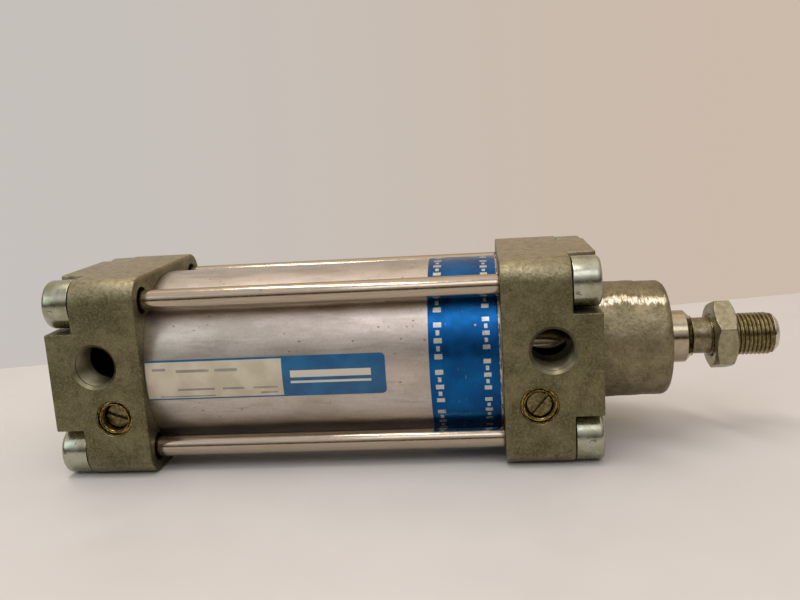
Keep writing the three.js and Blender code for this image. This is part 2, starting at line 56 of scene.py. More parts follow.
MM = 0.001
BODY_LENGTH = 201
COVER_SIZE = 75
COVER_CORNER = 9
COVER_TOP = COVER_SIZE / 2
# radius from the axis where the painted highlight on the covers' rounded corners begins
CORNER_HIGHLIGHT_RADIUS = 48.7
COVER_EDGE = 0.55
FACE_Y = -COVER_SIZE / 2
INNER_FACE = -35
SEAT = {"depth": 10.3, "rib": 18.5, "fillet": 6}
SPIGOT_END = -42
SPIGOT_RADIUS = 31.2
SPIGOT_RING = {"start": -40.2, "end": -37.4, "radius": 29.2}
BORE_RADIUS = 31.5
BARREL_RADIUS = 34.3
BARREL_GROOVE = {"depth": 1.5, "radius": 34.45}
CHAMBER_RADIUS = 15.5
CHAMBER_END = -10.5
CHAMBER_RING = {"start": -40.9, "end": -37.1, "radius": 19}
ROD_BORE = 12.8
RECESS = {"depth": 4, "radius": 22.5, "mouth": 23.5}
BOSS = {"length": 27.5, "radius": 22.15, "taper": 0.012, "fillet": 2.8}
WIPER_SEAT = {"start": 20.2, "radius": 14.85}
TIE_PLACES = [(28.25, 28.25), (-28.25, 28.25), (-28.25, -28.25), (28.25, -28.25)]
TIE_RADIUS = 3.9
TIE_END = -14.9
TIE_HOLE = {"radius": 5.2, "nut_radius": 6.5, "step": -25}
TIE_NUT = {"head": 9, "collar": 6.2, "socket": 8, "socket_depth": 5, "pitch": 1.25, "turns": 7}
PORT = {"x": -17.4, "z": 5.8, "end": -9, "radius": 7.5, "mouth": 8.6}
PORT_THREAD = {"crest": 0.55, "pitch": 1.337, "turns": 9}
THROTTLE = {"x": -22.7, "z": -14, "radius": 6.85, "step_y": -24, "bore": 3.4, "passage": 2.2}
STAKES = {"angles": (24, 118, 203, 300), "radius": 6.3}
SCREW = {"head": 4.6, "stem": 2.9, "slot": 1.25}
ROD_RADIUS = 10
ROD_SHOULDER = 37
THREAD = {"start": 44.3, "end": 66.9, "major": 8.0, "minor": 7.08, "pitch": 1.5}
LOCK_NUT = {"flats": 24, "start": 44.6, "end": 52.6, "corner": 159, "bore": 8.08, "face": 11.5}
FLASH_ANGLE = 53
FLASH_RADIUS = 22
FLASH_ARC = math.radians(FLASH_ANGLE) * FLASH_RADIUS
BAND = {"start": -61, "end": -35.4, "radius": 34.34, "thickness": 0.1}
PLATE = {"start": -165.6, "end": -76.8, "bottom": -14.5, "top": 11, "radius": 34.36, "corner": 1.8}
TABLE = {"near": -2.0, "far_left": -0.426, "far_right": 0.821, "wide": 2.5}
CAMERA = {"yaw": 0.099, "pitch": -0.189, "roll": 0.062, "lens": 38.36}
CAMERA_PLACE = (0.02511, -0.32743, 0.11928)

rear_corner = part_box("rear_cover")[0]
ORIGIN = Vector((rear_corner.x + BODY_LENGTH * MM, 0, rear_corner.z + COVER_SIZE / 2 * MM))

# ---------------------------------------------------------------- meshes


def linked(name, data):
    """A new object of this data, in the scene."""
    made = bpy.data.objects.new(name, data)
    bpy.context.scene.collection.objects.link(made)
    return made


def placed(points):
    return [ORIGIN + Vector(p) * MM for p in points]


def mesh_of(name, points, faces, sharp=38):
    """A smooth-shaded mesh drawn in the axis frame, with edges over `sharp` degrees left sharp."""
    mesh = bpy.data.meshes.new(name)
    mesh.from_pydata(placed(points), [], faces)
    return finished(mesh, sharp)


def finished(mesh, sharp=38):
    work = bmesh.new()
    work.from_mesh(mesh)
    bmesh.ops.remove_doubles(work, verts=work.verts, dist=1e-7)
    bmesh.ops.recalc_face_normals(work, faces=work.faces)
    work.to_mesh(mesh)
    work.free()
    mesh.shade_smooth()
    mesh.set_sharp_from_angle(angle=math.radians(sharp))
    return mesh


def softened(points, steps=4):
    """Rounds the corners of a profile of (x, r) or (x, r, fillet radius) points."""
    out = []
    for i, point in enumerate(points):
        corner = Vector(point[:2])
        if len(point) < 3:
            out.append(corner)
            continue
        before = Vector(points[i - 1][:2]) - corner
        after = Vector(points[(i + 1) % len(points)][:2]) - corner
        half = before.angle(after) / 2
        reach = min(point[2] / math.tan(half), 0.49 * before.length, 0.49 * after.length)
        radius = reach * math.tan(half)
        centre = corner + (before.normalized() + after.normalized()).normalized() * radius / math.sin(half)
        start = corner + before.normalized() * reach - centre
        end = corner + after.normalized() * reach - centre
        turn = start.angle_signed(end)
        for step in range(steps + 1):
            share = -turn * step / steps
            out.append(centre + Matrix.Rotation(share, 2) @ start)
    return out


def turned(name, profile, sides=128, closed=False, axis="X", centre=(0, 0, 0), bend=None, sharp=38):
    """A mesh turned from (distance along the axis, radius) points. `bend` may move each point."""
    rings = softened(profile)
    if closed:
        rings.append(rings[0])
    points = []
    for along, radius in rings:
        for side in range(sides):
            turn = math.tau * side / sides
            a, b = radius * math.cos(turn), radius * math.sin(turn)
            point = Vector((along, a, b) if axis == "X" else (a, along, b)) + Vector(centre)
            points.append(bend(point) if bend else point)
    faces = []
    for ring in range(len(rings) - 1):
        for side in range(sides):
            after = (side + 1) % sides
            low, high = ring * sides, (ring + 1) * sides
            faces.append((low + side, low + after, high + after, high + side))
    return mesh_of(name, points, faces, sharp)


def prism(name, outline, start, end):
    """An outline of (y, z) points drawn out along X."""
    count = len(outline)
    points = [(x, y, z) for x in (start, end) for y, z in outline]
    faces = [tuple(range(count)), tuple(range(count, 2 * count))]
    faces += [(i, (i + 1) % count, count + (i + 1) % count, count + i) for i in range(count)]
    return mesh_of(name, points, faces)


def arc(y, z, radius, start, end, steps):
    turns = [math.radians(start + (end - start) * step / steps) for step in range(steps + 1)]
    return [(y + radius * math.cos(turn), z + radius * math.sin(turn)) for turn in turns]


def combined(mesh, operation, tools):
    """The mesh after Boolean modifiers with these tool meshes."""
    body = linked("work", mesh)
    helpers = []
    for tool in tools:
        helper = linked("tool", tool)
        modifier = body.modifiers.new("combine", "BOOLEAN")
        modifier.operation = operation
        modifier.solver = "EXACT"
        modifier.object = helper
        helpers.append(helper)
    graph = bpy.context.evaluated_depsgraph_get()
    result = bpy.data.meshes.new_from_object(body.evaluated_get(graph))
    for helper in [body, *helpers]:
        bpy.data.objects.remove(helper)
    return result


def cut(mesh, tools, sharp=38):
    return finished(combined(mesh, "DIFFERENCE", tools), sharp)


def bevelled(mesh, width, segments=3, angle=32):
    """Rounds every edge that turns by more than `angle` degrees."""
    work = bmesh.new()
    work.from_mesh(mesh)
    bmesh.ops.dissolve_limit(work, angle_limit=math.radians(1), verts=work.verts, edges=work.edges)
    edges = [e for e in work.edges if len(e.link_faces) == 2 and e.calc_face_angle() > math.radians(angle)]
    shape = {"offset": width * MM, "segments": segments, "profile": 0.5, "affect": "EDGES"}
    bmesh.ops.bevel(work, geom=edges, clamp_overlap=True, **shape)
    work.to_mesh(mesh)
    work.free()
    return mesh


def mirrored(mesh, name):
    """A copy seen in a mirror half way between the mounting faces."""
    copy = mesh.copy()
    copy.name = name
    middle = ORIGIN.x - BODY_LENGTH / 2 * MM
    copy.transform(Matrix.Translation((2 * middle, 0, 0)) @ Matrix.Scale(-1, 4, (1, 0, 0)))
    copy.flip_normals()
    return copy


def joined(name, meshes):
    """One mesh of several, each keeping its materials."""
    work = bmesh.new()
    for mesh in meshes:
        work.from_mesh(mesh)
    mesh = bpy.data.meshes.new(name)
    work.to_mesh(mesh)
    work.free()
    return mesh


# ---------------------------------------------------------------- materials


class Nodes:
    """Adds procedural nodes to a tree."""

    def __init__(self, tree):
        self.tree = tree

    def add(self, kind, **settings):
        node = self.tree.nodes.new(kind)
        for key, value in settings.items():
            setattr(node, key, value)
        return node

    def feed(self, socket, value):
        if isinstance(value, bpy.types.NodeSocket):
            self.tree.links.new(value, socket)
        else:
            socket.default_value = value

    def math(self, operation, *values):
        node = self.add("ShaderNodeMath", operation=operation)
        for socket, value in zip(node.inputs, values):
            self.feed(socket, value)
        return node.outputs[0]

    def ramp(self, value, low, high, to_low=0.0, to_high=1.0):
        node = self.add("ShaderNodeMapRange", interpolation_type="SMOOTHSTEP")
        for socket, given in zip(node.inputs, (value, low, high, to_low, to_high)):
            self.feed(socket, given)
        return node.outputs[0]

    def mix(self, share, first, second):
        node = self.add("ShaderNodeMix", data_type="RGBA")
        for index, value in ((0, share), (6, first), (7, second)):
            self.feed(node.inputs[index], value)
        return node.outputs[2]


class Surface(Nodes):
    """A material whose colour, gloss and relief come from nodes. Lengths are in millimetres."""

    def __init__(self, name, metallic=1.0):
        self.material = bpy.data.materials.new(name)
        self.material.use_nodes = True
        super().__init__(self.material.node_tree)
        self.shader = self.tree.nodes["Principled BSDF"]
        self.shader.inputs["Metallic"].default_value = metallic
        place = self.add("ShaderNodeTexCoord").outputs["Object"]
        shift = self.add("ShaderNodeVectorMath", operation="SUBTRACT")
        self.feed(shift.inputs[0], place)
        self.feed(shift.inputs[1], ORIGIN)
        scale = self.add("ShaderNodeVectorMath", operation="SCALE")
        self.feed(scale.inputs[0], shift.outputs[0])
        scale.inputs["Scale"].default_value = 1 / MM
        self.place = scale.outputs[0]
        self.heights = None

    def parts(self):
        split = self.add("ShaderNodeSeparateXYZ")
        self.feed(split.inputs[0], self.place)
        return split.outputs[0], split.outputs[1], split.outputs[2]

    def stretched(self, factors):
        node = self.add("ShaderNodeVectorMath", operation="MULTIPLY")
        self.feed(node.inputs[0], self.place)
        self.feed(node.inputs[1], factors)
        return node.outputs[0]

    def noise(self, scale, detail=2.0, stretch=None, roughness=0.5, distortion=0.0):
        node = self.add("ShaderNodeTexNoise")
        self.feed(node.inputs["Vector"], self.stretched(stretch) if stretch else self.place)
        values = {"Scale": scale, "Detail": detail, "Roughness": roughness, "Distortion": distortion}
        for key, value in values.items():
            node.inputs[key].default_value = value
        return node.outputs["Fac"]

    def spots(self, scale, size, stretch=None):
        """1 in small round spots about 1 / scale apart, 0 elsewhere."""
        node = self.add("ShaderNodeTexVoronoi")
        self.feed(node.inputs["Vector"], self.stretched(stretch) if stretch else self.place)
        node.inputs["Scale"].default_value = scale
        return self.ramp(node.outputs["Distance"], size, size * 0.45)

    def tinted(self, base, mask, amount, colour):
        """The base with this much of another colour where the mask is 1."""
        return self.mix(self.math("MULTIPLY", mask, amount), base, colour)

    def relief(self, height, depth, strength):
        """Adds relief of this depth in millimetres."""
        node = self.add("ShaderNodeBump")
        node.inputs["Strength"].default_value = strength
        node.inputs["Distance"].default_value = depth * MM
        self.feed(node.inputs["Height"], height)
        if self.heights:
            self.feed(node.inputs["Normal"], self.heights)
        self.heights = node.outputs[0]
        self.feed(self.shader.inputs["Normal"], self.heights)

    def colour(self, value):
        self.feed(self.shader.inputs["Base Color"], value)

    def gloss(self, value):
        self.feed(self.shader.inputs["Roughness"], value)

    def patchy_gloss(self, scale, detail, low, high, **shape):
        self.gloss(self.ramp(self.noise(scale, detail, **shape), 0.3, 0.7, low, high))


def rgb(red, green, blue):
    return (red, green, blue, 1.0)


def cast_aluminium(name, dark, pale, grain):
    """Die-cast aluminium: fine grain, cloudy patches, painted light on the top faces, a painted highlight
    with some wear along the rounded corners and a few dark pores.
    """
    s = Surface(name)
    _, y, z = s.parts()
    clouds = s.ramp(s.noise(0.1, 4.0, roughness=0.65), 0.34, 0.66)
    base = s.mix(clouds, dark, pale)
    # The top faces are made paler with painted light from above, in a pale dust-like tone.
    on_top = s.ramp(z, COVER_TOP - 2.0, COVER_TOP - 0.1)
    painted_top_light = s.math("MULTIPLY", on_top, s.ramp(s.noise(0.3, 4.0), 0.2, 0.6, 0.35, 0.85))
    base = s.mix(painted_top_light, base, rgb(0.44, 0.36, 0.235))
    speckle = s.ramp(s.noise(1.2, 5.0, roughness=0.75), 0.44, 0.66)
    base = s.tinted(base, speckle, 0.5, rgb(0.36, 0.32, 0.2))
    soot = s.ramp(s.noise(0.5, 5.0, roughness=0.75), 0.48, 0.7)
    base = s.tinted(base, soot, 0.6, rgb(0.09, 0.075, 0.04))
    pores = s.math("MULTIPLY", s.spots(0.2, 0.13), s.ramp(s.noise(0.3, 1.0), 0.47, 0.56))
    base = s.tinted(base, pores, 0.7, rgb(0.06, 0.05, 0.03))
    # A painted highlight, with some wear, along the rounded corners of the block: a ragged paler band.
    out = s.math("SQRT", s.math("ADD", s.math("MULTIPLY", y, y), s.math("MULTIPLY", z, z)))
    ragged = s.math("MULTIPLY", s.math("SUBTRACT", s.noise(0.9, 4.0, roughness=0.7), 0.5), 3.0)
    corner_highlight_and_wear = s.ramp(s.math("ADD", out, ragged), CORNER_HIGHLIGHT_RADIUS, CORNER_HIGHLIGHT_RADIUS + 0.6)
    base = s.tinted(base, corner_highlight_and_wear, 0.3, rgb(0.48, 0.41, 0.29))
    s.colour(base)
    s.patchy_gloss(0.8, 5.0, 0.36, 0.6, roughness=0.7)
    s.relief(s.noise(0.7, 4.0, roughness=0.65), 0.16 * grain, 0.55)
    s.relief(s.noise(3.2, 3.0, roughness=0.6), 0.06 * grain, 0.7)
    return s


def boss_skin():
    """The same casting left rougher, with a painted highlight along the jagged line where the flash was
    broken off, over metal left bright by the trimming.
    """
    s = cast_aluminium("cast_aluminium_boss", rgb(0.165, 0.138, 0.078), rgb(0.285, 0.242, 0.146), 1.7)
    x, y, z = s.parts()
    wander = s.math("MULTIPLY", s.math("SUBTRACT", s.noise(0.5, 4.0, stretch=(1.0, 0.1, 0.1)), 0.5), 7.0)
    height = s.math("SUBTRACT", around(s, y, z, FLASH_RADIUS), FLASH_ARC)
    near = s.math("ABSOLUTE", s.math("ADD", height, wander))
    teeth = s.ramp(s.noise(1.5, 3.0, stretch=(1.2, 0.25, 0.25)), 0.34, 0.5)
    off_the_end = s.ramp(x, BOSS["length"] - 0.7, BOSS["length"] - 2.3)
    # Painted highlight along the flash line, over metal left bright where the flash was broken off.
    flash_highlight = s.math("MULTIPLY", s.ramp(near, 2.3, 0.8), s.math("MULTIPLY", teeth, off_the_end))
    base = s.shader.inputs["Base Color"].links[0].from_socket
    s.colour(s.mix(flash_highlight, base, rgb(0.92, 0.82, 0.64)))
    rough = s.shader.inputs["Roughness"].links[0].from_socket
    s.gloss(s.math("SUBTRACT", rough, s.math("MULTIPLY", flash_highlight, 0.12)))
    return s.material


def machined_aluminium():
    """The bores and faces that a tool has cut, with fine rings."""
    s = Surface("machined_aluminium")
    s.colour(s.mix(s.noise(0.5, 3.0), rgb(0.14, 0.125, 0.07), rgb(0.25, 0.225, 0.145)))
    s.patchy_gloss(1.0, 2.0, 0.34, 0.44)
    s.relief(s.noise(1.2, 2.0, stretch=(1.0, 2.0, 1.0)), 0.008, 0.3)
    return s.material


def anodised_barrel():
    """A drawn tube with a satin skin: faint streaks, cloudy patches, small dents and dark specks."""
    s = Surface("anodised_barrel")
    streaks = s.noise(1.6, 3.0, stretch=(0.04, 1.0, 1.0), roughness=0.6)
    clouds = s.noise(0.09, 4.0, stretch=(0.5, 1.0, 1.0), roughness=0.65)
    base = s.mix(s.ramp(streaks, 0.25, 0.75), rgb(0.55, 0.485, 0.435), rgb(0.61, 0.545, 0.49))
    base = s.mix(s.ramp(clouds, 0.42, 0.64, 0.0, 0.7), base, rgb(0.43, 0.38, 0.32))
    mottle = s.ramp(s.noise(1.1, 5.0, roughness=0.75), 0.46, 0.7)
    base = s.tinted(base, mottle, 0.34, rgb(0.32, 0.28, 0.22))
    smears = s.ramp(s.noise(0.35, 4.0, stretch=(0.16, 1.0, 1.0), roughness=0.6), 0.56, 0.72)
    base = s.tinted(base, smears, 0.4, rgb(0.3, 0.26, 0.19))
    specks = s.math("MULTIPLY", s.spots(0.3, 0.14, (0.7, 1.0, 1.0)), s.ramp(s.noise(0.1, 2.0), 0.46, 0.54))
    base = s.tinted(base, specks, 0.7, rgb(0.17, 0.13, 0.09))
    s.colour(base)
    s.patchy_gloss(0.4, 3.0, 0.33, 0.42, stretch=(0.2, 1.0, 1.0))
    s.relief(streaks, 0.012, 0.3)
    s.relief(s.noise(0.8, 4.0, roughness=0.65), 0.02, 0.3)
    s.relief(s.math("SUBTRACT", 1.0, specks), 0.04, 0.5)
    return s.material


def bright_steel(name, low, high, rough):
    """Cold-drawn steel: bright, streaked along its length, with faint rust-brown freckles."""
    s = Surface(name)
    streaks = s.noise(3.0, 3.0, stretch=(0.03, 1.0, 1.0))
    base = s.mix(s.ramp(streaks, 0.3, 0.7), low, high)
    freckles = s.math("MULTIPLY", s.spots(0.35, 0.12, (0.6, 1.0, 1.0)), s.ramp(s.noise(0.2, 2.0), 0.5, 0.6))
    base = s.tinted(base, freckles, 0.6, rgb(0.16, 0.11, 0.07))
    s.colour(base)
    s.patchy_gloss(0.5, 3.0, *rough)
    s.relief(streaks, 0.005, 0.3)
    s.relief(s.math("SUBTRACT", 1.0, freckles), 0.03, 0.5)
    return s.material


def zinc_plate():
    """Turned steel under blue-white zinc: faint rings, cloudy stains and a few brown marks."""
    s = Surface("zinc_plated_nut")
    stains = s.ramp(s.noise(0.16, 4.0, roughness=0.55), 0.4, 0.66)
    base = s.mix(stains, rgb(0.42, 0.43, 0.345), rgb(0.31, 0.3, 0.2))
    marks = s.ramp(s.noise(0.28, 3.0, distortion=1.2), 0.66, 0.7)
    base = s.tinted(base, marks, 0.75, rgb(0.13, 0.1, 0.06))
    s.colour(base)
    s.patchy_gloss(0.35, 3.0, 0.2, 0.3)
    s.relief(s.noise(2.6, 1.0, stretch=(1.0, 0.03, 0.03)), 0.012, 0.3)
    s.relief(s.noise(0.4, 2.0), 0.03, 0.2)
    return s.material


def turned_steel(name, low, high, rough, rings):
    """A turned surface with rings round the rod's axis."""
    s = Surface(name)
    tool_marks = s.noise(5.0, 2.0, stretch=(1.0, 0.04, 0.04))
    wear = s.ramp(s.noise(0.5, 4.0, roughness=0.65), 0.38, 0.64)
    s.colour(s.mix(wear, low, high))
    s.patchy_gloss(0.9, 3.0, *rough)
    s.relief(tool_marks, rings, 0.5)
    return s.material


def brass(name, dark, bright):
    """Old brass, tarnished brown in random patches and bright between them."""
    s = Surface(name)
    tarnish = s.ramp(s.noise(0.8, 4.0, roughness=0.65), 0.36, 0.62)
    s.colour(s.mix(tarnish, bright, dark))
    s.patchy_gloss(1.5, 3.0, 0.2, 0.42)
    s.relief(s.noise(4.0, 2.0), 0.03, 0.4)
    return s.material


def soft_part(name, low, high, rough=(0.4, 0.6), metallic=0.0):
    """Rubber, polyurethane and moulded parts: slight mottling and a fine skin."""
    s = Surface(name, metallic)
    s.colour(s.mix(s.noise(0.6, 3.0), low, high))
    s.patchy_gloss(1.4, 3.0, *rough)
    s.relief(s.noise(3.0, 3.0), 0.03, 0.4)
    return s.material


def inside(s, value, low, high):
    """1 where the value lies between the two limits."""
    return s.math("COMPARE", value, (low + high) / 2, (high - low) / 2)


def union(s, masks):
    total = masks[0]
    for mask in masks[1:]:
        total = s.math("MAXIMUM", total, mask)
    return total


def around(s, y, z, radius):
    """The arc length up from the side that faces -Y."""
    turn = s.math("ARCTAN2", z, s.math("MULTIPLY", y, -1.0))
    return s.math("MULTIPLY", turn, radius)


def foil_film():
    """Blue foil with two rows of plain ticks, a lacquer sheen, scuffs and a bare silver front edge."""
    s = Surface("blue_foil_film", 0.85)
    x, y, z = s.parts()
    arc_length = around(s, y, z, BAND["radius"])
    wobble = s.math("MULTIPLY", s.math("SUBTRACT", s.noise(1.1, 2.0), 0.5), 0.35)
    marks = []
    for centre, height, period, phase in ((-57.6, 1.45, 17.0, 3.0), (-40.4, 1.3, 15.0, 9.0)):
        share = s.math("FRACT", s.math("DIVIDE", s.math("ADD", arc_length, 300.0 + phase), period))
        step = s.math("FRACT", s.math("MULTIPLY", share, 6.0))
        tick = s.math("MULTIPLY", inside(s, step, 0.14, 0.78), inside(s, share, 0.0, 0.82))
        tall = s.math("MULTIPLY", s.math("FLOOR", s.math("MULTIPLY", share, 6.0)), 0.5)
        shorter = s.math("MULTIPLY", s.math("GREATER_THAN", s.math("FRACT", tall), 0.2), 0.55 * height)
        reach = s.math("SUBTRACT", height, shorter)
        offset = s.math("ABSOLUTE", s.math("SUBTRACT", x, centre))
        marks.append(s.math("MULTIPLY", tick, s.math("LESS_THAN", offset, reach)))
    worn = s.ramp(s.noise(1.6, 3.0), 0.3, 0.42)
    white = s.math("MULTIPLY", union(s, marks), worn)
    shade = s.ramp(s.noise(0.09, 3.0), 0.35, 0.65)
    base = s.mix(shade, rgb(0.0012, 0.065, 0.22), rgb(0.002, 0.1, 0.31))
    scuffs = s.math("MULTIPLY", s.spots(0.13, 0.07), s.ramp(s.noise(0.2, 1.0), 0.55, 0.6))
    scratches = s.ramp(s.noise(0.5, 2.0, stretch=(6.0, 0.6, 0.6)), 0.735, 0.76)
    base = s.mix(union(s, [scuffs, scratches]), base, rgb(0.3, 0.38, 0.42))
    base = s.mix(white, base, rgb(0.55, 0.56, 0.52))
    edge = s.math("GREATER_THAN", s.math("ADD", x, s.math("MULTIPLY", wobble, 2.2)), BAND["end"] - 0.55)
    s.colour(s.mix(edge, base, rgb(0.5, 0.45, 0.38)))
    s.patchy_gloss(0.25, 3.0, 0.24, 0.38)
    s.relief(s.noise(0.3, 3.0, stretch=(0.5, 1.0, 1.0)), 0.12, 0.3)
    return s.material


def plate_print():
    """A printed film: cream panel with plain grey bars, blue rules, a blue block with two plain stripes."""
    s = Surface("name_plate_print", 0.0)
    x, y, z = s.parts()
    up = around(s, y, z, PLATE["radius"])
    along = s.math("SUBTRACT", x, float(PLATE["start"]))
    low = math.radians(PLATE["bottom"]) * PLATE["radius"]
    high = math.radians(PLATE["top"]) * PLATE["radius"]

    def box(left, right, bottom, top):
        return s.math("MULTIPLY", inside(s, along, left, right), inside(s, up, bottom, top))

    block_start, block_end = 51.0, PLATE["end"] - PLATE["start"]
    bars = [
        box(2.6, 7.6, high - 4.0, high - 3.0), box(11.5, 24.0, high - 4.8, high - 3.7),
        box(26.0, 34.5, high - 4.8, high - 3.7), box(11.5, 25.5, low + 3.6, low + 4.4),
        box(28.5, 36.5, low + 3.6, low + 4.4), box(4.5, 25.5, low + 1.0, low + 1.6),
        box(40.0, 49.0, low + 3.6, low + 4.4), box(42.5, 49.0, low + 1.6, low + 2.3),
    ]
    ink = s.math("MULTIPLY", union(s, bars), s.ramp(s.noise(0.15, 3.0), 0.3, 0.7, 0.45, 0.75))
    blue_area = union(s, [
        box(block_start, block_end + 1, low - 1, high + 1),
        box(-1, block_end + 1, high - 0.75, high + 1),
        box(-1, block_end + 1, low - 1, low + 0.6),
    ])
    middle = (low + high) / 2
    stripes = union(s, [
        box(54.0, 83.5, middle - 0.3, middle + 2.3), box(54.0, 83.5, middle - 2.5, middle - 1.6),
    ])
    fade = s.ramp(s.noise(0.12, 3.0), 0.35, 0.65)
    cream = s.mix(fade, rgb(0.52, 0.45, 0.33), rgb(0.62, 0.55, 0.42))
    blue = s.mix(fade, rgb(0.006, 0.085, 0.21), rgb(0.01, 0.12, 0.27))
    base = s.mix(ink, cream, rgb(0.12, 0.12, 0.12))
    base = s.mix(blue_area, base, blue)
    base = s.mix(stripes, base, rgb(0.62, 0.57, 0.47))
    grime = s.math("MULTIPLY", s.spots(0.4, 0.09), s.ramp(s.noise(0.3, 2.0), 0.52, 0.6))
    s.colour(s.tinted(base, grime, 0.5, rgb(0.18, 0.14, 0.1)))
    s.patchy_gloss(0.4, 3.0, 0.3, 0.46)
    s.relief(s.noise(0.5, 3.0), 0.05, 0.25)
    return s.material


def pale_table():
    """A smooth, warm white laminate with faint mottling."""
    s = Surface("pale_table", 0.0)
    mottling = s.ramp(s.noise(0.012, 3.0), 0.3, 0.7)
    s.colour(s.mix(mottling, rgb(0.648, 0.618, 0.588), rgb(0.672, 0.645, 0.616)))
    s.patchy_gloss(0.05, 3.0, 0.45, 0.6)
    s.relief(s.noise(1.2, 3.0), 0.02, 0.2)
    return s.material


MATERIALS = {
    "cast": cast_aluminium(
        "cast_aluminium_skin", rgb(0.108, 0.095, 0.047), rgb(0.198, 0.177, 0.094), 1.0
    ).material,
    "boss": boss_skin(),
    "machined": machined_aluminium(),
    "barrel": anodised_barrel(),
    "steel": bright_steel(
        "bright_steel_rod", rgb(0.405, 0.335, 0.25), rgb(0.485, 0.41, 0.315), (0.12, 0.22)
    ),
    "zinc": zinc_plate(),
    "chrome": turned_steel(
        "ground_rod", rgb(0.39, 0.335, 0.225), rgb(0.45, 0.39, 0.28), (0.12, 0.2), 0.003
    ),
    "neck": turned_steel("turned_neck", rgb(0.17, 0.145, 0.08), rgb(0.28, 0.24, 0.15), (0.25, 0.4), 0.08),
    "thread": turned_steel(
        "rolled_thread", rgb(0.19, 0.155, 0.07), rgb(0.33, 0.28, 0.15), (0.22, 0.36), 0.015
    ),
    "tip": turned_steel("bright_tip", rgb(0.4, 0.37, 0.3), rgb(0.62, 0.59, 0.52), (0.12, 0.22), 0.02),
    "yellow_zinc": turned_steel(
        "yellow_zinc_nut", rgb(0.27, 0.24, 0.15), rgb(0.37, 0.335, 0.225), (0.34, 0.48), 0.015
    ),
    # Darker copy of the brass for the screws sunk in their holes: painted shade.
    "brass": brass("brass_darkened_for_shade", rgb(0.1, 0.08, 0.035), rgb(0.22, 0.18, 0.09)),
    # Brighter copy of the brass for the bushes at the face: painted light.
    "lit_brass": brass("brass_brightened_for_light", rgb(0.13, 0.095, 0.03), rgb(0.46, 0.35, 0.12)),
    "rubber": soft_part("black_rubber", rgb(0.012, 0.012, 0.012), rgb(0.03, 0.029, 0.028), (0.5, 0.7)),
    "seal": soft_part("green_polyurethane", rgb(0.012, 0.05, 0.035), rgb(0.02, 0.075, 0.05), (0.3, 0.5)),
    "wiper": soft_part("dark_polyurethane", rgb(0.02, 0.02, 0.018), rgb(0.04, 0.038, 0.034), (0.3, 0.5)),
    "bronze": soft_part("sintered_bronze", rgb(0.3, 0.19, 0.08), rgb(0.45, 0.3, 0.14), (0.3, 0.5), 1.0),
    "guide": soft_part("guide_plastic", rgb(0.5, 0.45, 0.33), rgb(0.62, 0.56, 0.43), (0.4, 0.6)),
    "magnet": soft_part("ferrite_magnet", rgb(0.03, 0.028, 0.026), rgb(0.06, 0.055, 0.05), (0.4, 0.6), 0.3),
    "foil": foil_film(),
    "plate": plate_print(),
    "table": pale_table(),
}

# ---------------------------------------------------------------- pieces


def piece(name, mesh, material, body, slot, *replaced):
    """Shows the mesh as a piece that rides with a body and stands for CAD nodes."""
    if material:
        mesh.materials.clear()
        mesh.materials.append(MATERIALS[material])
    made = linked(name, mesh)
    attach(made, body)
    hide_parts(*replaced)
    return made


def paint_faces(mesh, materials, choose):
    """Gives each face the material whose place in the list `choose` returns for its middle and normal."""
    mesh.materials.clear()
    for name in materials:
        mesh.materials.append(MATERIALS[name])
    for face in mesh.polygons:
        face.material_index = choose((face.center - ORIGIN) / MM, face.normal)


def rounded_square(size, radius, steps=10):
    half = size / 2 - radius
    outline = []
    for quarter, (y, z) in enumerate([(half, half), (-half, half), (-half, -half), (half, -half)]):
        outline += arc(y, z, radius, 90 * quarter, 90 * quarter + 90, steps)
    return outline


def seat_cutter(quarter):
    """The corner cut away for a tie nut, with a rounded inner corner."""
    outside, rib, fillet = COVER_SIZE / 2 + 2, SEAT["rib"], SEAT["fillet"]
    outline = [(outside, rib), (outside, outside), (rib, outside)]
    outline += arc(rib + fillet, rib + fillet, fillet, 180, 270, 8)
    turn = Matrix.Rotation(math.radians(90 * quarter), 2)
    return prism("seat", [turn @ Vector(p) for p in outline], -SEAT["depth"], 2)


def port_cutter():
    """A port with rings for its thread and a countersunk mouth."""
    radius, mouth, pitch = PORT["radius"], PORT["mouth"], PORT_THREAD["pitch"]
    crest = radius + PORT_THREAD["crest"]
    first = FACE_Y + mouth - radius + 0.5
    last = first + PORT_THREAD["turns"] * pitch
    profile = [(FACE_Y - 2, 0), (FACE_Y - 2, mouth), (FACE_Y, mouth), (FACE_Y + mouth - radius, radius)]
    for turn in range(PORT_THREAD["turns"]):
        groove = first + turn * pitch
        profile += [(groove, radius), (groove + 0.45 * pitch, crest), (groove + 0.6 * pitch, crest)]
    profile += [(last, radius), (PORT["end"], radius), (PORT["end"], 0)]
    return turned("port", profile, 64, axis="Y", centre=(PORT["x"], 0, PORT["z"]))


def throttle_cutter():
    """The stepped hole for a throttle's bush, its screw and the air passage behind it."""
    radius, step = THROTTLE["radius"], THROTTLE["step_y"]
    bore, passage = THROTTLE["bore"], THROTTLE["passage"]
    profile = [
        (FACE_Y - 2, 0), (FACE_Y - 2, radius + 0.12), (FACE_Y, radius + 0.12), (FACE_Y + 0.15, radius),
        (step, radius), (step, bore), (-14.5, bore), (-14.5, passage), (-5, passage), (-5, 0),
    ]
    return turned("throttle", profile, 56, axis="Y", centre=(THROTTLE["x"], 0, THROTTLE["z"]))


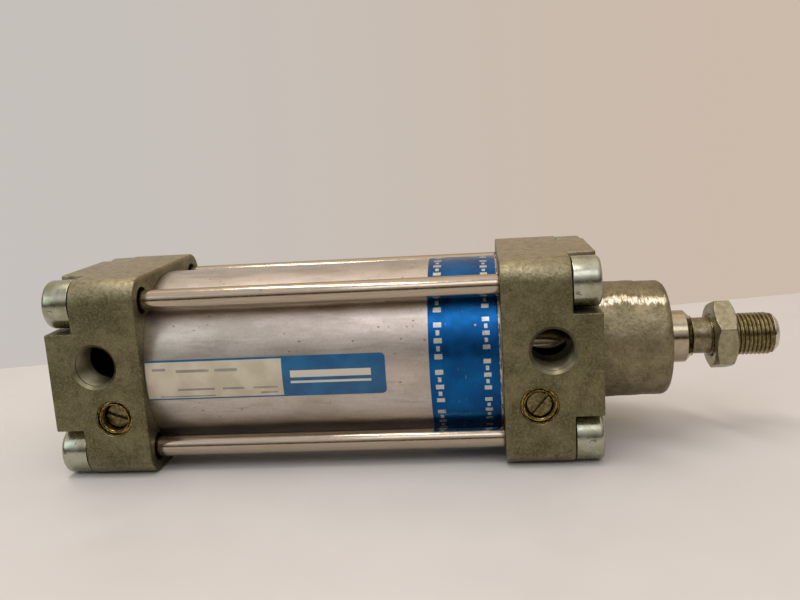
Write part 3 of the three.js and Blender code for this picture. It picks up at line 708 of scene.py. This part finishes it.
def tie_hole_cutter(y, z):
    """A hole for a tie rod that widens for the nut's collar."""
    radius, nut_radius, step = TIE_HOLE["radius"], TIE_HOLE["nut_radius"], TIE_HOLE["step"]
    profile = [
        (INNER_FACE - 2, 0), (INNER_FACE - 2, radius + 0.15), (INNER_FACE, radius + 0.15),
        (INNER_FACE + 0.15, radius), (step, radius), (step, nut_radius), (2, nut_radius), (2, 0),
    ]
    return turned("tie_hole", profile, 40, centre=(0, y, z))


def disc(start, end, radius, sides=96):
    return turned("disc", [(start, 0), (start, radius), (end, radius), (end, 0)], sides)


def band_cutter(start, end, inner, outer, sides=96):
    return turned("band", [(start, inner), (start, outer), (end, outer), (end, inner)], sides, closed=True)


def cover_mesh(name, front):
    """A cover drawn as the front one: the rounded block, its seats, then every bore."""
    block = prism(name, rounded_square(COVER_SIZE, COVER_CORNER), INNER_FACE, 0)
    block = combined(block, "DIFFERENCE", [seat_cutter(quarter) for quarter in range(4)])
    block = bevelled(block, COVER_EDGE)
    groove_end = INNER_FACE + BARREL_GROOVE["depth"]
    groove = band_cutter(INNER_FACE - 1, groove_end, SPIGOT_RADIUS, BARREL_GROOVE["radius"], 128)
    inside_block = INNER_FACE + 5
    spigot_profile = [
        (SPIGOT_END, 0), (SPIGOT_END, SPIGOT_RADIUS, 1), (inside_block, SPIGOT_RADIUS), (inside_block, 0),
    ]
    spigot = turned("spigot", spigot_profile, 128)
    block = combined(combined(block, "DIFFERENCE", [groove]), "UNION", [spigot])
    tools = [
        band_cutter(SPIGOT_RING["start"], SPIGOT_RING["end"], SPIGOT_RING["radius"], SPIGOT_RADIUS + 1.8),
        disc(SPIGOT_END - 1, CHAMBER_END, CHAMBER_RADIUS),
        disc(CHAMBER_RING["start"], CHAMBER_RING["end"], CHAMBER_RING["radius"]),
        port_cutter(),
        throttle_cutter(),
        *[tie_hole_cutter(y, z) for y, z in TIE_PLACES],
    ]
    if front:
        tools.append(disc(CHAMBER_END - 1, 1, ROD_BORE))
    else:
        floor, radius, mouth = -RECESS["depth"], RECESS["radius"], RECESS["mouth"]
        profile = [(floor, 0), (floor, radius), (-0.5, radius), (0.5, mouth), (1, mouth), (1, 0)]
        tools.append(turned("recess", profile, 96))
    return cut(block, tools, 34)


def cover_face_kind(point, normal):
    """0 for the cast skin, 1 for what a tool has cut."""
    x, y, z = point
    from_port = math.hypot(x - PORT["x"], z - PORT["z"]) - PORT["mouth"]
    from_throttle = math.hypot(x - THROTTLE["x"], z - THROTTLE["z"]) - THROTTLE["radius"]
    in_hole = y > FACE_Y + 0.02 and (from_port < 0.1 or from_throttle < 0.25)
    in_bore = math.hypot(y, z) < RECESS["mouth"] + 0.1 and (abs(normal.x) < 0.7 or INNER_FACE + 1 < x < -1)
    return int(in_hole or in_bore)


def roughened_boss(point):
    """Moves a point of the boss in or out: a rough skin with a flash line on its upper side."""
    x, y, z = point
    radius = math.hypot(y, z)
    if radius < 19 or x < 0.2:
        return point
    angle = math.degrees(math.atan2(z, -y))
    lumps = noise.noise(Vector((x, y, z)) * 0.22) * 0.16
    grit = noise.noise(Vector((x, y, z)) * 1.1 + Vector((7, 3, 1))) * 0.07
    jag = noise.noise(Vector((x * 1.4, 2.5, 0.5))) * 2.2 + noise.noise(Vector((x * 0.35, 9.5, 4.5))) * 1.5
    above = angle - FLASH_ANGLE - jag
    flash = math.exp(-((above / 2.4) ** 2)) * (0.34 + 0.3 * noise.noise(Vector((x * 1.7, 5, 5))))
    ground = 0.28 if above > 0 and x < 16 + jag * 0.3 else 0.0
    fade = min(1.0, (x - 0.2) / 1.5) * min(1.0, max(0.0, (BOSS["length"] - x) / 1.2))
    moved = radius + (lumps + grit + flash + ground) * fade
    return Vector((x, y * moved / radius, z * moved / radius))


def boss_mesh():
    """The boss, slightly tapered and rounded at its end, hollow for the rod and its wiper."""
    length, fillet = BOSS["length"], BOSS["fillet"]
    stations = []
    steps = 96
    for step in range(steps + 1):
        x = length * step / steps
        radius = BOSS["radius"] - BOSS["taper"] * x
        edge = max(0.0, x - (length - fillet))
        if edge:
            radius -= fillet - math.sqrt(max(0.0, fillet ** 2 - edge ** 2))
        stations.append((x, radius))
    rim = stations[-1][1]
    seat, seat_start = WIPER_SEAT["radius"], WIPER_SEAT["start"]
    profile = [(-1, ROD_BORE), (-1, BOSS["radius"] + 0.25), *stations, (length, max(seat, rim - 3))]
    profile += [(length, seat, 0.3), (seat_start, seat - 0.05), (seat_start, ROD_BORE)]
    return turned("front_cover_boss", profile, 256, closed=True, bend=roughened_boss, sharp=50)


def covers():
    front = cover_mesh("front_cover_block", True)
    rear = mirrored(cover_mesh("rear_cover_block", False), "rear_cover_body")
    paint_faces(front, ["cast", "machined"], cover_face_kind)
    mirror_x = lambda p: Vector((-BODY_LENGTH - p.x, p.y, p.z))
    paint_faces(rear, ["cast", "machined"], lambda p, n: cover_face_kind(mirror_x(p), n))
    piece("front_cover_block", front, None, "housing", "cast_aluminium", "front_cover")
    piece("rear_cover_body", rear, None, "housing", "cast_aluminium", "rear_cover")
    piece("front_cover_boss", boss_mesh(), "boss", "housing", "cast_aluminium", "front_cover")


def barrel():
    front, rear = INNER_FACE + 1.2, -BODY_LENGTH - INNER_FACE - 1.2
    profile = [
        (rear, BORE_RADIUS + 0.5), (rear, BARREL_RADIUS, 0.2), (front, BARREL_RADIUS, 0.2),
        (front, BORE_RADIUS + 0.5), (front - 0.5, BORE_RADIUS), (rear + 0.5, BORE_RADIUS),
    ]
    mesh = turned("barrel_tube", profile, 192, closed=True)
    piece("barrel_tube", mesh, "barrel", "housing", "anodised_aluminium", "barrel")


def tie_nut_mesh():
    """A collar nut: a rounded head with a hexagon socket and an inner thread."""
    head, collar, thread, bore = TIE_NUT["head"], TIE_NUT["collar"], 3.4, 4.2
    profile = [
        (-24, bore), (-24, collar, 0.4), (-10, collar, 0.3), (-10, head, 0.35), (0, head, 1.7),
        (0, 4.9, 0.3), (-0.4, 4.4), (-5.2, 4.0),
    ]
    for turn in range(TIE_NUT["turns"]):
        groove = -5.4 - turn * TIE_NUT["pitch"]
        profile += [(groove, thread), (groove - 0.5 * TIE_NUT["pitch"], 4.0)]
    profile += [(-14.4, thread), (-14.6, bore)]
    body = turned("tie_nut", profile, 72, closed=True, sharp=40)
    corner = TIE_NUT["socket"] / math.sqrt(3)
    turns = [math.radians(60 * i) for i in range(6)]
    hexagon = [(corner * math.cos(turn), corner * math.sin(turn)) for turn in turns]
    return cut(body, [prism("socket", hexagon, -TIE_NUT["socket_depth"], 2)], 40)


def tie_rods_and_nuts():
    rear = -BODY_LENGTH - TIE_END
    profile = [(rear, 0), (rear, TIE_RADIUS, 0.6), (TIE_END, TIE_RADIUS, 0.6), (TIE_END, 0)]
    rod = turned("tie_rod", profile, 48)
    front_nut = tie_nut_mesh()
    rear_nut = mirrored(front_nut, "rear_tie_nut")
    for number, (y, z) in enumerate(TIE_PLACES, 1):
        pieces = [
            ("tie_rod", rod, "steel", "bright_steel"),
            ("front_tie_nut", front_nut, "zinc", "zinc_plate"),
            ("rear_tie_nut", rear_nut, "zinc", "zinc_plate"),
        ]
        for kind, mesh, material, slot in pieces:
            copy = mesh.copy()
            turn = Matrix.Rotation(math.radians(37 * number + len(kind)), 4, "X")
            here = Matrix.Translation(ORIGIN + Vector((0, y, z)) * MM)
            copy.transform(here @ turn @ Matrix.Translation(-ORIGIN))
            piece(f"{kind}_piece_{number}", copy, material, "housing", slot, f"{kind}_{number}")


def throttle_bush_mesh():
    """A brass bush with a rolled lip, held by four stake notches."""
    centre, outside, bore = (THROTTLE["x"], 0, THROTTLE["z"]), 6.68, 4.95
    profile = [
        (FACE_Y + 0.9, 5.2, 0.2), (FACE_Y + 0.3, 5.3, 0.15), (FACE_Y + 0.3, 5.6, 0.15),
        (FACE_Y + 2.0, 5.7, 0.1), (FACE_Y + 2.0, 6.3, 0.1), (FACE_Y + 0.25, 6.45, 0.08),
        (FACE_Y + 0.25, outside, 0.08), (-24.3, outside), (-24.3, 3.3), (-28.3, 3.3), (-28.3, bore),
        (FACE_Y + 1.2, bore, 0.2),
    ]
    bush = turned("throttle_bush", profile, 80, closed=True, axis="Y", centre=centre)
    notches = []
    for angle in STAKES["angles"]:
        turn = math.radians(angle)
        across, up = STAKES["radius"] * math.cos(turn), STAKES["radius"] * math.sin(turn)
        middle = Vector(centre) + Vector((across, FACE_Y + 0.1, up))
        notches.append(box_mesh(middle, (2.0, 1.5, 1.1), turn + math.radians(45)))
    return cut(bush, notches)


def box_mesh(centre, size, turn=0.0):
    """A box turned about Y."""
    rotation = Euler((0, -turn, 0)).to_matrix()
    points = []
    for x in (-0.5, 0.5):
        for y in (-0.5, 0.5):
            for z in (-0.5, 0.5):
                points.append(Vector(centre) + rotation @ Vector((x * size[0], y * size[1], z * size[2])))
    faces = [(0, 1, 3, 2), (4, 5, 7, 6), (0, 1, 5, 4), (2, 3, 7, 6), (0, 2, 6, 4), (1, 3, 7, 5)]
    return mesh_of("box", points, faces)


def throttle_screw_mesh(sunk, slot_angle):
    """A slotted screw with a groove round its head and a tapered tip."""
    top, head, stem = FACE_Y + sunk, SCREW["head"], SCREW["stem"]
    centre = (THROTTLE["x"], 0, THROTTLE["z"])
    profile = [
        (top, 0), (top, head, 0.45), (top + 1.6, head, 0.15), (top + 1.8, 4.2, 0.15),
        (top + 2.3, 4.2, 0.15), (top + 2.5, head, 0.15), (top + 5, head), (top + 5, stem),
        (top + 16.4, stem), (top + 18.9, 1.2), (top + 18.9, 0),
    ]
    screw = turned("throttle_screw", profile, 64, axis="Y", centre=centre)
    slot = box_mesh((centre[0], top, centre[2]), (12, 3, SCREW["slot"]), math.radians(slot_angle))
    return cut(screw, [slot])


def throttles():
    """Each end's bush and screw; the screws are sunk and turned as far as they are seen to be."""
    bush = throttle_bush_mesh()
    front_screw = throttle_screw_mesh(2.1, 49)
    rear_screw = mirrored(throttle_screw_mesh(3.9, 20), "rear_throttle_screw_piece")
    rear_bush = mirrored(bush, "rear_throttle_bush_piece")
    for end, mesh in (("front", bush), ("rear", rear_bush)):
        name = f"{end}_throttle_bush"
        piece(f"{name}_piece", mesh, "lit_brass", "housing", "brass", name)
    for end, mesh in (("front", front_screw), ("rear", rear_screw)):
        name = f"{end}_throttle_screw"
        piece(f"{name}_piece", mesh, "brass", f"{end}_throttle", "brass", name)


def thread_radius(share):
    """The radius at a share of one pitch of the outer thread."""
    away = abs(share - 0.5)
    depth = max(0.0, min(1.0, (away - 0.07) / 0.3))
    return THREAD["major"] - (THREAD["major"] - THREAD["minor"]) * depth


def thread_mesh():
    """The helical thread, with run-outs at both ends."""
    start, end, pitch = THREAD["start"], THREAD["end"], THREAD["pitch"]
    shares = [0.0, 0.08, 0.14, 0.24, 0.34, 0.43, 0.5, 0.57, 0.66, 0.76, 0.86, 0.92]
    sides = 96
    rows = []
    turns = int((end - start) / pitch) + 2
    for turn in range(-1, turns):
        rows += [(turn + share) * pitch + start for share in shares]
    points = []
    for side in range(sides + 1):
        angle = math.tau * side / sides
        for row, base in enumerate(rows):
            x = base + pitch * side / sides
            radius = thread_radius(shares[row % len(shares)])
            into, left = x - start, end - x
            radius = min(radius, 6.95 + max(0.0, into) * 0.9, 7.3 + max(0.0, left) * 0.6)
            x = max(start, min(end, x))
            points.append((x, radius * math.cos(angle), radius * math.sin(angle)))
    count = len(rows)
    faces = []
    for side in range(sides):
        for row in range(count - 1):
            a = side * count + row
            faces.append((a, a + 1, a + count + 1, a + count))
    return mesh_of("thread", points, faces, 60)


def rod_mesh():
    """The rod from its tail to the thread's bright tip: ground, necked, threaded and rounded off."""
    tail, seat, shoulder = -171.99, -122.1, ROD_SHOULDER
    start, end, tip = THREAD["start"], THREAD["end"], 69
    ground = [(tail, 0), (tail, 7.7, 0.5), (seat, 7.7), (seat, ROD_RADIUS)]
    ground += [(shoulder - 2.2, ROD_RADIUS, 0.25), (shoulder, ROD_RADIUS - 2.2)]
    neck = [(shoulder, ROD_RADIUS - 2.2, 0.25), (shoulder + 0.4, 7.0, 0.3)]
    neck += [(shoulder + 1 + i * 0.5, 6.95 if i % 2 else 6.84) for i in range(12)]
    neck += [(start, 6.9), (start, 6.0)]
    point = [(end, 6.4), (end, 7.55), (end + 0.5, 7.5, 0.4)]
    point += [(tip, 5.9, 0.9), (tip, 1.7, 0.2), (tip - 1.4, 0)]
    sections = [("chrome", ground, 128), ("neck", neck, 96), ("tip", point, 96)]
    meshes = []
    for material, profile, sides in sections:
        meshes.append((material, turned("rod_section", profile, sides)))
    meshes.append(("thread", thread_mesh()))
    for index, (_, mesh) in enumerate(meshes):
        for face in mesh.polygons:
            face.material_index = index
    whole = joined("piston_rod_piece", [mesh for _, mesh in meshes])
    for material, _ in meshes:
        whole.materials.append(MATERIALS[material])
    return whole


def lock_nut_mesh():
    """A thin hexagon nut whose corners run out under a 30 degree chamfer."""
    flats, start, end = LOCK_NUT["flats"], LOCK_NUT["start"], LOCK_NUT["end"]
    bore, sides, blend = LOCK_NUT["bore"], 240, 0.12
    stations = [start + (end - start) * step / 40 for step in range(41)]
    points = []
    for side in range(sides):
        angle = math.tau * side / sides
        from_corner = (math.degrees(angle) - LOCK_NUT["corner"]) % 60
        hexagon = flats / 2 / math.cos(math.radians(from_corner - 30))
        hexagon = min(hexagon, flats / math.sqrt(3) - 0.18)
        row = [(start + 0.7, bore), (start + 0.1, bore + 0.7), (start, bore + 0.85)]
        for x in stations:
            cone = LOCK_NUT["face"] + math.sqrt(3) * min(x - start, end - x)
            difference = (hexagon - cone) / blend
            mean = (hexagon + cone) / 2 - math.sqrt((hexagon - cone) ** 2 + blend ** 2) / 2
            row.append((x, mean if abs(difference) < 30 else min(hexagon, cone)))
        row += [(end, bore + 0.85), (end - 0.1, bore + 0.7), (end - 0.7, bore)]
        points += [(x, r * math.cos(angle), r * math.sin(angle)) for x, r in row]
    count = len(row)
    faces = []
    for side in range(sides):
        here, after = side * count, (side + 1) % sides * count
        for i in range(count):
            j = (i + 1) % count
            faces.append((here + i, here + j, after + j, after + i))
    return mesh_of("lock_nut_piece", points, faces, 30)


def wiper_mesh():
    """A scraper ring whose thin lip meets the rod."""
    outside, lip = WIPER_SEAT["radius"] - 0.1, 27.9
    profile = [
        (20.5, 10.5), (20.5, outside), (27.1, outside, 0.2), (27.1, 12.8, 0.3), (25.4, 12.2, 0.4),
        (lip, 10.9, 0.15), (lip, 10.06, 0.1), (24.5, 10.5),
    ]
    return turned("rod_wiper_piece", profile, 96, closed=True)


def band_mesh():
    """Thin foil that lies on the barrel, its front edge creased where it meets the cover."""
    radius, start, end = BAND["radius"], BAND["start"], BAND["end"]
    stations = [start + (end - start) * step / 64 for step in range(65)]
    outside = [(x, radius + BAND["thickness"]) for x in stations]
    profile = [(start, radius - 0.03), *outside, (end, radius - 0.03)]

    def crease(point):
        x, y, z = point
        radius_here = math.hypot(y, z)
        if radius_here < radius:
            return point
        near = max(0.0, 1 - (end - x) / 2.2)
        ripple = noise.noise(Vector((x * 0.8, y * 0.35, z * 0.35))) * 0.35 * near
        seam = 0.04 * noise.noise(Vector((x * 0.15, y * 0.12, z * 0.12)))
        moved = radius_here + max(-0.05, ripple + seam + 0.03)
        edge = x + noise.noise(Vector((3, y * 0.3, z * 0.3))) * 0.5 * near
        return Vector((min(edge, end), y * moved / radius_here, z * moved / radius_here))

    return turned("foil_band_piece", profile, 256, closed=True, bend=crease, sharp=60)


def plate_mesh():
    """The name plate, bent to the barrel, with rounded corners at its free end."""
    start, end, corner = PLATE["start"], PLATE["end"], PLATE["corner"]
    inner, outer = PLATE["radius"] - 0.03, PLATE["radius"] + 0.13
    low = math.radians(PLATE["bottom"]) * outer
    high = math.radians(PLATE["top"]) * outer
    columns = [start, start + 0.3] + [start + 2 + i * 4 for i in range(21)]
    columns += [end - corner + corner * math.sin(math.radians(90 * i / 8)) for i in range(9)]
    rows = 28
    points = []
    for radius in (inner, outer):
        for x in columns:
            into = max(0.0, x - (end - corner))
            inset = corner - math.sqrt(max(0.0, corner ** 2 - into ** 2))
            for row in range(rows + 1):
                up = low + inset + (high - low - 2 * inset) * row / rows
                turn = up / outer
                points.append((x, -radius * math.cos(turn), radius * math.sin(turn)))
    faces = []
    layer = len(columns) * (rows + 1)
    for level in (0, layer):
        for i in range(len(columns) - 1):
            for row in range(rows):
                a = level + i * (rows + 1) + row
                faces.append((a, a + 1, a + rows + 2, a + rows + 1))
    border = [i * (rows + 1) for i in range(len(columns))]
    border += [(len(columns) - 1) * (rows + 1) + row for row in range(1, rows + 1)]
    border += [i * (rows + 1) + rows for i in range(len(columns) - 2, -1, -1)]
    border += [row for row in range(rows - 1, 0, -1)]
    for i, a in enumerate(border):
        b = border[(i + 1) % len(border)]
        faces.append((a, b, b + layer, a + layer))
    return mesh_of("name_plate_piece", points, faces)


def small_pieces():
    piece("piston_rod_piece", rod_mesh(), None, "rod", "chromed_steel", "piston_rod")
    piece("lock_nut_piece", lock_nut_mesh(), "yellow_zinc", "lock_nut", "yellow_zinc", "rod_lock_nut")
    piece("rod_wiper_piece", wiper_mesh(), "wiper", "housing", "polyurethane", "rod_wiper_seal")
    piece("foil_band_piece", band_mesh(), "foil", "housing", "blue_foil", "foil_band")
    piece("name_plate_piece", plate_mesh(), "plate", "housing", "name_plate", "name_plate")


def paint_hidden_nodes():
    """Gives the CAD nodes that are shown as they are their own procedural materials."""
    finishes = {
        "rubber": ["front_barrel_seal", "rear_barrel_seal"],
        "seal": ["front_cushion_seal", "rear_cushion_seal", "rear_piston_seal", "front_piston_seal"],
        "bronze": ["rod_bearing_bush"],
        "guide": ["piston_guide_ring"],
        "magnet": ["piston_magnet_ring"],
        "machined": ["rear_piston_half", "front_piston_half", "front_cushion_sleeve", "rear_cushion_spear"],
    }
    for finish, nodes in finishes.items():
        for node in nodes:
            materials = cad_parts[node].data.materials
            materials.clear()
            materials.append(MATERIALS[finish])


# ---------------------------------------------------------------- table, light and camera


def table():
    """A finite table top whose far edge runs aslant behind the cylinder."""
    mesh = bpy.data.meshes.new("table_top")
    near, wide = TABLE["near"], TABLE["wide"]
    corners = [
        (-wide, near, 0), (wide, near, 0), (wide, TABLE["far_right"], 0), (-wide, TABLE["far_left"], 0),
    ]
    mesh.from_pydata(corners, [], [(0, 1, 2, 3)])
    mesh.materials.append(MATERIALS["table"])
    top = linked("table_top", mesh)


def area_light(name, place, target, size, power, colour):
    lamp = bpy.data.lights.new(name, "AREA")
    lamp.shape = "RECTANGLE"
    lamp.size, lamp.size_y = size
    lamp.energy = power
    lamp.color = colour
    light = linked(name, lamp)
    light.location = place
    light.rotation_mode = "QUATERNION"
    light.rotation_quaternion = (Vector(target) - Vector(place)).to_track_quat("-Z", "Y")


def room_light():
    """A warm room: a bright wall behind the cylinder, a bright ceiling and a dim side behind the camera."""
    world = bpy.data.worlds.new("room")
    world.use_nodes = True
    bpy.context.scene.world = world
    room = Nodes(world.node_tree)
    split = room.add("ShaderNodeSeparateXYZ")
    room.feed(split.inputs[0], room.add("ShaderNodeTexCoord").outputs["Generated"])

    def graded(axis, low, high, first, second):
        return room.mix(room.ramp(split.outputs[axis], low, high), first, second)

    wall = graded("X", -0.55, 0.35, rgb(0.56, 0.53, 0.5), rgb(0.6, 0.49, 0.4))
    ceiling = graded("Y", -0.35, 0.35, rgb(0.84, 0.8, 0.82), rgb(0.7, 0.59, 0.48))
    dim_side = graded("Z", 0.08, 0.6, rgb(0.05, 0.038, 0.012), ceiling)
    sides = graded("Y", -0.3, 0.5, dim_side, wall)
    whole = graded("Z", 0.42, 0.75, sides, ceiling)
    room.feed(room.tree.nodes["Background"].inputs["Color"], whole)
    area_light("ceiling", (0.1, 0.3, 1.3), (0, 0, 0), (1.9, 1.2), 2.6, (1.0, 0.9, 0.78))
    area_light("ceiling_lamp", (-0.2, -0.12, 1.1), (0, 0, 0), (0.8, 0.1), 3.4, (1.0, 0.97, 0.93))
    area_light("window", (0.12, -0.55, 0.6), (0, 0, 0.04), (0.5, 0.25), 0.6, (0.92, 0.94, 1.0))
    area_light("side_window", (-0.7, -0.5, 0.4), (-0.08, 0, 0.04), (0.4, 0.4), 0.6, (0.76, 1.0, 0.98))


def camera():
    lens = bpy.data.cameras.new("camera")
    lens.lens = CAMERA["lens"]
    lens.sensor_width = 36
    lens.clip_start = 0.01
    eye = linked("camera", lens)
    turn = Matrix.Rotation(CAMERA["yaw"], 3, "Z") @ Matrix.Rotation(CAMERA["pitch"], 3, "X")
    right, forward, up = (turn @ Matrix.Rotation(CAMERA["roll"], 3, "Y")).col
    pose = Matrix((right, up, -forward)).transposed().to_4x4()
    pose.translation = CAMERA_PLACE
    eye.matrix_world = pose
    bpy.context.scene.camera = eye


covers()
barrel()
tie_rods_and_nuts()
throttles()
small_pieces()
paint_hidden_nodes()
table()
room_light()
camera()
bpy.context.scene.view_settings.view_transform = "Standard"
